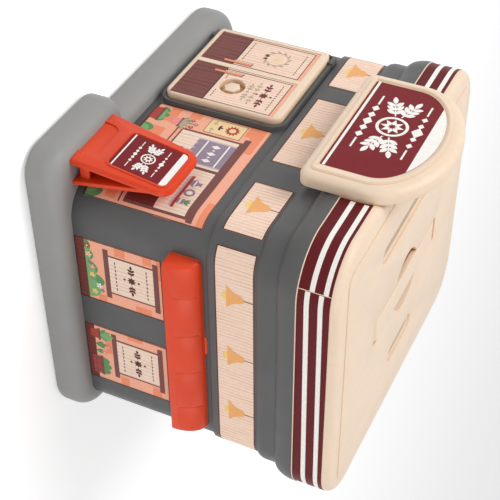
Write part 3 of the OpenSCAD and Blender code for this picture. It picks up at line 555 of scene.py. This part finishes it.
def flower(label, u, v, r, petals="rose", heart="bulb"):
    label.add(petals, 6, blossom(u, v, r))
    label.add(heart, 7, oval(u, v, r*0.3, steps=10))


def bricks(label, places):
    """Single darker bricks in a plain wall: left, foot, width and height."""
    label.add("brick", 0, *(rect(u, v, u + w, v + h) for u, v, w, h in places))


def panel(label, u0, v0, u1, v1, bar):
    """A boarded shutter in a thin frame, with a beam over it and one under it."""
    label.add("brown", 1, rect(u0 - 1, v0 - 1, u1 + 1, v1 + 1))
    label.add("pane", 2, rect(u0, v0, u1, v1))
    label.add("brown", 3, rect(u0 - 4.4, v1, u1 + 4.4, v1 + bar), rect(u0 - 4.4, v0 - bar, u1 + 4.4, v0))
    for v in (v0 + 3.6, v1 - 3.8):
        label.add("coal", 3, *dashes(u0 + 1.2, u1 - 1.2, v, 2.5, 1.5, 0.55))


def rosette(label, ink_name, layer, u, v, reach, r):
    """A star between two leafy sprigs."""
    label.add(ink_name, layer, star(u, v, 8, r, r*0.58), diamond(u, v + r*1.5, r*0.3, r*0.36),
              diamond(u, v - r*1.5, r*0.3, r*0.36))
    for side in (-1, 1):
        label.add(ink_name, layer, *sprig(u + side*r*1.1, v, reach - r*1.9, 90 - side*90, 2, r*0.95, r*0.52))


def print_front_window():
    start, foot, top = 3.2, 23.0, 88.3
    flat_x = HALF_W - BODY_R

    def bent(x):
        """The way round the corner to the place that stands at x."""
        return flat_x + BODY_R*math.asin((x - flat_x)/BODY_R)

    end = bent(90 - 6.6)
    p = Print("front_window_print", "brick_print", "bank", wall_place(0, 0), [(flat_x, end)])
    right = bent(81.6)
    bricks(p, [(start, 80, 22, 6), (start, 76.6, 9, 3.4), (68, 84.4, end - 68, top - 84.4),
               (start, 43, 5.4, 6.4), (start, 31.6, 13, 5.6), (22, 29.6, 20, 7),
               (right + 2.4, 62, end - right - 2.4, 9), (70, 34, 12, 5.4)])
    # Window: two panes under a long beam
    p.add("brown", 1, rect(14.4, 78.6, bent(82.6), 82), rect(18, 44.2, right, 78.8),
          rect(17, 41.6, right + 0.6, 42.4))
    p.add("pane", 2, rect(19.4, 45.2, 44.8, 77.4), rect(47, 45.2, right - 1.5, 77.4))
    # Roller blind with a scalloped hem, stripes and a cord
    p.add("mist", 3, rect(22.4, 56.4, 43.2, 77.4))
    hem = [(42.4, 77.4), (23.2, 77.4), (23.2, 58.6)]
    for i in range(5):
        hem += oval(23.2 + 3.84*(i + 0.5), 58.6, -1.92, -2.2, 0, 180, 6)[1:]
    p.add("lilac", 4, hem)
    p.add("white", 5, rect(23.2, 73.4, 42.4, 74.2), rect(23.2, 61.4, 42.4, 62.2),
          *(diamond(u, 67.8, 1.5, 2.6) for u in (26.8, 32.8, 38.8)),
          *(diamond(u, 67.8, 0.6, 1) for u in (29.8, 35.8)))
    p.add("lilac", 4, strip([(34, 56.6), (34, 52.6)], 0.5), *ring(34, 51.6, 1.1, 0.45, 12))
    # Vases on a shelf, over a dark counter, whose dark is partly print and partly painted shadow of the
    # pavement sign on the wall
    p.add("earth", 3, rect(47, 45.2, right - 1.5, 60.4))
    p.add("mist", 3, rect(53, 66.6, 77, 67.8))
    p.add("rust", 4, rect(52.4, 67.8, 77.6, 69.4))
    vase = [(55.8, 69.4), (59.4, 69.4), (60.6, 71.8), (58.6, 73.4), (58.8, 75.4), (56.4, 75.4), (56.6, 73.4),
            (54.6, 71.8)]
    p.add("lilac", 4, vase, *ring(65.2, 72.3, 2.9, 1.2, 20), rect(70.6, 69.4, 74.2, 73.2))
    p.add("white", 5, rect(70.6, 70.6, 74.2, 71.4), rect(55.2, 71.4, 60, 72.1),
          oval(65.2, 72.3, 1.2, steps=12))
    p.add("moss", 3, *(leaf(72.4, 72.8, 3.8, 1.5, a) for a in (58, 90, 124)))
    # Poster beside the window: a sun over sprigs
    p.add("dusk", 1, rect(4.4, 55, 16.6, 75.6))
    p.add("straw", 2, rect(4.7, 55.3, 16.3, 75.3))
    p.add("rust", 3, star(10.5, 69.2, 12, 4.2, 2.9))
    p.add("straw", 4, oval(10.5, 69.2, 1.9, steps=14))
    p.add("dusk", 3, *(leaf(10.5, 61.4, 2.6, 1.2, a) for a in (28, 90, 152)))
    for side in (-1, 1):
        p.add("sage", 3, *sprig(10.5 + side*0.8, 58.4, 2.8, 90 - side*90, 1, 1.6, 0.8))
    # Rosy bowl with trailing leaves
    p.add("rose", 3, [(12, 36.2), (16.6, 36.2), (18, 41), (10.6, 41)])
    p.add("brown", 4, rect(10.2, 40.4, 18.4, 41.2))
    p.add("moss", 2, *(leaf(14.3, 40.6, 6, 1.9, a) for a in (24, 50, 128, 156)))
    p.add("sage", 3, *(leaf(14.3, 40.6, 7, 1.9, a) for a in (38, 72, 104, 142)))
    for u, v, kind in ((10.6, 46.6, "rust"), (13.2, 49.4, "lilac"), (16.4, 48, "rust"), (17.6, 45, "rose")):
        p.add("brown", 1, strip([(14.3, 41), (u, v)], 0.35))
        flower(p, u, v, 1.4, kind, "straw")
    # Kerb, tub and bushes
    p.add("earth", 1, rect(start, foot, end, foot + 1))
    p.add("rust", 3, [(6.8, 23.4), (16.6, 23.4), (17.4, 28.2), (6, 28.2)])
    p.add("brown", 4, rect(5.6, 27.4, 17.8, 28.8))
    p.add("moss", 2, *bush(6, 17.4, 28.2, (3.4, 5, 3.6)))
    p.add("leaf", 3, *bush(7.4, 16, 28.4, (2.2, 3)))
    p.add("moss", 2, *bush(22, 40, foot + 1, (6.4, 8, 5.4)), *bush(70, end - 0.6, foot + 1, (6, 8.2)))
    p.add("leaf", 3, *bush(24, 38, foot + 1, (4.8, 4.2)), *bush(66, end - 3, foot + 1, (4, 6)))
    p.add("coal", 4, *border(start, foot, end, top, 0.3))
    p.build()


def print_side_windows():
    p = Print("side_window_print", "brick_print", "bank", wall_place(0, SIDE_START))
    foot, top = PLINTH_H + 0.4, PLINTH_H + 49.2
    near, far = (-49.2, -8.8), (10.8, 51.2)
    bricks(p, [(near[0], 42, 6, 6), (near[0], 58, 5.6, 5), (near[1] - 4.6, 52, 4.6, 9),
               (near[0] + 1, top - 2.4, 12, 2.4), (near[1] - 4.6, 30, 4.6, 5), (far[0], 45, 3.2, 9),
               (far[1] - 7, 58, 7, 5.6), (far[1] - 6.4, 38.6, 6.4, 5), (far[0] + 9, 31, 10, 3.6)])
    panel(p, -41.4, 38.2, -17.6, 63.4, 2.9)
    rosette(p, "dusk", 3, -29.5, 50.8, 9.6, 2.7)
    panel(p, 18.2, 37.9, 42, 62.6, 2.9)
    rosette(p, "dusk", 3, 30.1, 50.2, 9.6, 2.7)
    for low, high in (near, far):
        p.add("earth", 1, rect(low, foot, high, foot + 5.4))
        p.add("coal", 7, *border(low, foot, high, top, 0.35))
    # Flower bed under the first window
    bed = foot + 5.4
    p.add("moss", 2, *bush(near[0] + 1, -36, bed, (3.4, 4.6)),
          *bush(-34, near[1] - 2.6, bed, (6.4, 9.8, 6.6)))
    p.add("leaf", 3, *bush(-45, -35, bed, (3.2,)), *bush(-32, -12, bed, (5.4, 7.4)))
    for u, v, kind in ((-14.6, 28.4, "bulb"), (-19.4, 31.4, "white"), (-26, 27.8, "bulb"),
                       (-31.4, 28.4, "rose"), (-39.4, 26.8, "straw"), (-45, 26.4, "rust")):
        flower(p, u, v, 2, kind, "straw" if kind in ("rust", "rose") else "lamp")
    p.add("lilac", 6, blossom(-16.4, 33, 1.3), blossom(-23.4, 27.6, 1.2), blossom(-35, 26.6, 1.1))
    # Potted plants and a slatted crate under the second
    pot_plant(p, 17, foot + 3, 7.4, 5.6, ((46, 6), (70, 7.6), (92, 8.8), (114, 7.4), (138, 5.8)))
    p.add("rust", 4, rect(34, foot + 2.6, 47.4, foot + 8.6))
    p.add("brown", 5, rect(33.4, foot + 7.5, 48, foot + 9), rect(33.4, foot + 4.2, 48, foot + 5.1),
          *(rect(u, foot + 2.6, u + 1.1, foot + 9) for u in (35.6, 40.1, 44.6)))
    p.add("moss", 3, *bush(35, 46.6, foot + 8.8, (4, 5, 4)))
    p.add("moss", 3, leaf(24.6, bed, 6, 2.2, 68), leaf(25, bed, 7.4, 2.3, 96), leaf(25.6, bed, 5.6, 2, 124),
          leaf(30, bed, 4.6, 1.8, 78), leaf(30.2, bed, 4.2, 1.8, 112))
    for u, v in ((25.2, bed + 7.6), (30.2, bed + 5)):
        flower(p, u, v, 1.8, "rose", "bulb")
    p.build()


def print_frieze():
    """Pendant lamps on planks, with a dark line at the labels' edges."""
    z0, z1 = 98.1, 119.1
    r = BODY_R + FRIEZE_OUT
    flat_x, flat_y = HALF_W - BODY_R, HALF_D - BODY_R

    def round_corner(flat, reach):
        return flat + r*math.asin((reach - flat)/r)

    def lamp(p, u):
        shade_half = ((7, 104.2), (6.4, 105.3), (4.4, 107.2), (3.1, 109.4), (2.4, 112), (1.2, 113.6))
        p.add("coal", 1, strip([(u, 113.4), (u, z1 - 0.6)], 0.45))
        p.add("bulb", 1, oval(u, 104, 2.6, 2.4, steps=18))
        p.add("lamp", 2, [(u + x, z) for x, z in shade_half] + [(u - x, z) for x, z in reversed(shade_half)])

    def label(name, place, low, high, lamps, bends):
        p = Print(name, "plank_print", "bank", place, bends)
        p.add("dusk", 1, *border(low, z0, high, z1, 0.6))
        for u in lamps:
            lamp(p, u)
        p.build()

    front = wall_place(FRIEZE_OUT, 0)
    left_end, right_end = -round_corner(flat_x, 82), round_corner(flat_x, 82)
    label("frieze_left_print", front, left_end, -46.8, (-65.4,), [(left_end, -flat_x)])
    label("frieze_middle_print", front, -33.6, 27.0, (-3.3,), [])
    label("frieze_right_print", front, 45.1, right_end, (62.4,), [(flat_x, right_end)])
    near, far = -round_corner(flat_y, 69.6), round_corner(flat_y, 71)
    side_start = flat_x + flat_y + r*math.pi/2
    label("frieze_side_print", wall_place(FRIEZE_OUT, side_start), near, far, (-42, -1.5, 39),
          [(near, -flat_y), (flat_y, far)])


def print_stripes():
    """White bands round the roof cap, on the burgundy film; the side's strip is laid a little askew."""
    r = BODY_R + CAP_OUT
    flat_x, flat_y, bend = HALF_W - BODY_R, HALF_D - BODY_R, r*math.pi/2
    begin = 48.8
    cap_foot, film_z0, film_z1 = 143.5, 144.0, 160.1
    around = 4*flat_x + 4*flat_y + 4*bend
    corners, s = [], flat_x
    for run in (2*flat_y, 2*flat_x, 2*flat_y, 0):
        corners.append((s, s + bend))
        s += bend + run
    p = Print("stripe_print", "burgundy_print", "bank", wall_place(CAP_OUT, 0), corners)
    seam, back_seam = corners[0][0] + bend*0.77, corners[1][1]
    bands = ((148.2, 150.7), (155.1, 157.5))
    front_up, low_end, high_end = 1.1, -0.8, 0.8
    for low, high in bands:
        askew = [(seam, low + low_end), (back_seam, low + high_end), (back_seam, high + high_end),
                 (seam, high + low_end)]
        p.add("white", 0, rect(begin, low + front_up, seam, high + front_up), askew,
              rect(back_seam, low + high_end, around - begin, high + high_end))
    p.add("wine", 0, rect(begin, cap_foot, around - begin, film_z0 + 0.3))
    p.add("straw", 1, rect(seam - 0.4, film_z0, seam, film_z1))
    p.add("coal", 1, rect(seam, film_z0, seam + 0.25, film_z1))
    p.build()


def print_door():
    foot, sill, head = 26.9, 45.4, 86.1
    left, right = (-66.3, -37.4), (-33.7, -1.1)
    knob_u, well = -18.4, 7.3
    p = Print("door_print", "plank_print", "door", plane_place(LEAF_Y))
    for low, high in (left, right):
        p.add("oak", 1, rect(low, foot, high, sill))
        p.add("coal", 2, rect(low, sill, high, sill + 0.4))
        p.add("salmon", 1, rect(low, head - 1.9, high, head))
        p.add("coal", 2, *border(low + 1, sill + 0.2, high - 0.6, head - 1.9, 0.42))
        p.add("coal", 2, *dashes(low + 3.6, high - 3.4, 80.3, 1.9, 1.1, 0.45))
    p.add("coal", 2, *dashes(left[0] + 3, left[1] - 6.4, 48.6, 1.9, 1.1, 0.45),
          *dashes(right[0] + 5.6, knob_u - well + 2, 48.4, 1.9, 1.1, 0.45),
          *dashes(knob_u + well - 2, right[1] - 4, 48.4, 1.9, 1.1, 0.45))
    # Pull bars: a dark outline, a pale side over the sill and a rosy front
    for u in (left[1] - 3.6, right[0] + 4):
        p.add("coal", 3, rect(u - 1.7, sill, u + 0.1, 56.4))
        p.add("pane", 4, rect(u - 1.4, sill, u - 0.2, 56.1))
        p.add("line", 5, rect(u - 0.6, 39.4, u + 1.4, 56.2))
        p.add("brick", 6, rect(u - 0.4, 39.7, u + 1.2, 55.8))
    # Left leaf: a pale wreath of sprigs with blossoms
    u, v = (left[0] + left[1])/2 - 0.4, 66
    for k in range(12):
        x, y = turned([(6.2, 0)], u, v, 30*k)[0]
        p.add("sage", 2, leaf(x, y, 3.2, 1.2, 30*k + 62))
    p.add("sage", 2, *ring(u, v, 6.3, 0.3))
    p.add("dusk", 3, blossom(u - 1.3, v - 6.2, 1.5), blossom(u + 1.7, v - 6, 1.2))
    p.add("straw", 2, star(u, v + 0.3, 6, 3, 1.4))
    # Right leaf: a dark star between sprigs over two rows of pale leaves
    mid = (right[0] + right[1])/2 + 0.4
    rosette(p, "earth", 2, mid, 74, 11, 2.7)
    for level, reach in ((68.6, 7.4), (64.6, 5)):
        for side in (-1, 1):
            p.add("sage", 2, *sprig(mid + side*1.2, level, reach, 90 - side*90, 2, 2.1, 0.9))
        p.add("sage", 3, diamond(mid, level, 0.9, 1.1))
    p.build()


def white_rosette(p, u, v, scale, tall):
    """White ornament of a sign: star in a ring, sprigs, and rows of diamonds over and under it."""
    r = 6.4*scale
    p.add("white", 1, *ring(u, v, r*1.16, r*0.22), star(u, v, 8, r*0.86, r*0.46))
    p.add("burgundy", 3, star(u, v, 8, r*0.32, r*0.18, 112.5))
    for side in (-1, 1):
        for tilt in (-19, 19):
            stalk = (u + side*r*1.28, v + tilt*0.012*r, r*1.5, 90 - side*(90 - tilt))
            p.add("white", 1, *sprig(*stalk, 3, r*0.8, r*0.38))
    for level, big, small in ((v - tall, 0.5, 0.36), (v + tall, 0.62, 0.3)):
        for k in range(-2, 3):
            ru, rv = (small, small*0.8) if k else (big, big*0.7)
            p.add("white", 1, diamond(u + k*r*0.82, level, r*ru, r*rv))
        for side in (-1, 1):
            near, far = sorted((u + side*r*2.15, u + side*r*3.3))
            p.add("white", 1, rect(near, level - r*0.07, far, level + r*0.07))


def print_sign():
    u0, width, foot, height, rise = -0.9, 77.8, 128.5, 47.1, 23.2
    p = Print("sign_print", "burgundy_print", "bank", plane_place(BOARD_Y, u0))
    centre = foot + height - rise
    level = 168.2
    reach = math.degrees(math.asin((level - centre)/rise))
    p.add("white", 1, oval(0, centre, width/2, rise, reach, 180 - reach, 30))
    p.add("white", 1, rect(-width/2, foot + 1.1, width/2, foot + 2.5))
    white_rosette(p, -3.6, 149.6, 1.12, 13)
    p.build()


def print_easel():
    width, foot, height, corner = 26.6, 16.1, 31.1, 2.7
    p = Print("easel_print", "burgundy_print", "bank", easel_place)
    half, top = width/2, foot + height
    right_bend = oval(half - corner, top - corner, corner, corner, 0, 90, 6)
    left_bend = oval(corner - half, top - corner, corner, corner, 90, 180, 6)
    p.add("white", 1, [(-half, top - 3.4), (half, top - 3.4)] + right_bend + left_bend)
    p.add("white", 1, rect(-half + 0.2, foot + 1.5, half - 0.2, foot + 2.3))
    white_rosette(p, 0, foot + 15.2, 0.5, 7.2)
    p.build()


for node_name, look in LOOKS.items():
    dress(node_name, look, EDGES.get(node_name, 0.0))

print_front_window()
print_side_windows()
print_frieze()
print_stripes()
print_door()
print_sign()
print_easel()


def lit_by_path(tree, seen, lighting):
    """A socket that is `seen` to the camera, in reflections and through glass, and else `lighting`."""
    path = tree.nodes.new("ShaderNodeLightPath")
    total = path.outputs["Is Camera Ray"]
    for name in ("Is Glossy Ray", "Is Transmission Ray"):
        most = tree.nodes.new("ShaderNodeMath")
        most.operation = "MAXIMUM"
        tree.links.new(total, most.inputs[0])
        tree.links.new(path.outputs[name], most.inputs[1])
        total = most.outputs[0]
    choose = tree.nodes.new("ShaderNodeMix")
    choose.inputs["A"].default_value = lighting
    choose.inputs["B"].default_value = seen
    tree.links.new(total, choose.inputs["Factor"])
    return choose.outputs["Result"]


# Studio, in metres and watts: each lamp's name, place, side and power
FLOOR_SIDE = 6
FLOOR_DROP = 0.0002
FLOOR_GLOW = 0.4
SKY_LIGHT = 0.4
LAMP_AIM = Vector((0, 0, 0.09))
LAMPS = (("key", (-0.3, -0.95, 1.15), 0.9, 13.5), ("fill", (1.2, 0.35, 0.7), 1.0, 7))


def add_studio():
    """White floor that keeps the shadow, even sky and two large soft lamps."""
    bpy.ops.mesh.primitive_plane_add(size=FLOOR_SIDE, location=(0, 0, -FLOOR_DROP))
    floor = bpy.context.object
    floor.name = "floor"
    g = Graph("floor")
    g.link(g.mix(g.noise(3, 2), (0.86, 0.86, 0.86), (0.88, 0.88, 0.88)), g.shader.inputs["Base Color"])
    g.shader.inputs["Roughness"].default_value = 0.9
    g.shader.inputs["Emission Color"].default_value = (1, 1, 1, 1)
    g.link(lit_by_path(g.tree, FLOOR_GLOW, 0.0), g.shader.inputs["Emission Strength"])
    floor.data.materials.append(g.material)

    world = bpy.data.worlds.new("studio")
    bpy.context.scene.world = world
    world.use_nodes = True
    sky = world.node_tree.nodes["Background"]
    sky.inputs["Color"].default_value = (1, 1, 1, 1)
    world.node_tree.links.new(lit_by_path(world.node_tree, 1.0, SKY_LIGHT), sky.inputs["Strength"])

    for name, place, size, power in LAMPS:
        data = bpy.data.lights.new(name, "AREA")
        data.shape = "SQUARE"
        data.size = size
        data.energy = power
        lamp = bpy.data.objects.new(name, data)
        lamp.location = place
        lamp.rotation_euler = (LAMP_AIM - Vector(place)).to_track_quat("-Z", "Y").to_euler()
        bpy.context.scene.collection.objects.link(lamp)


add_studio()
add_camera()
bpy.context.scene.view_settings.view_transform = "Standard"
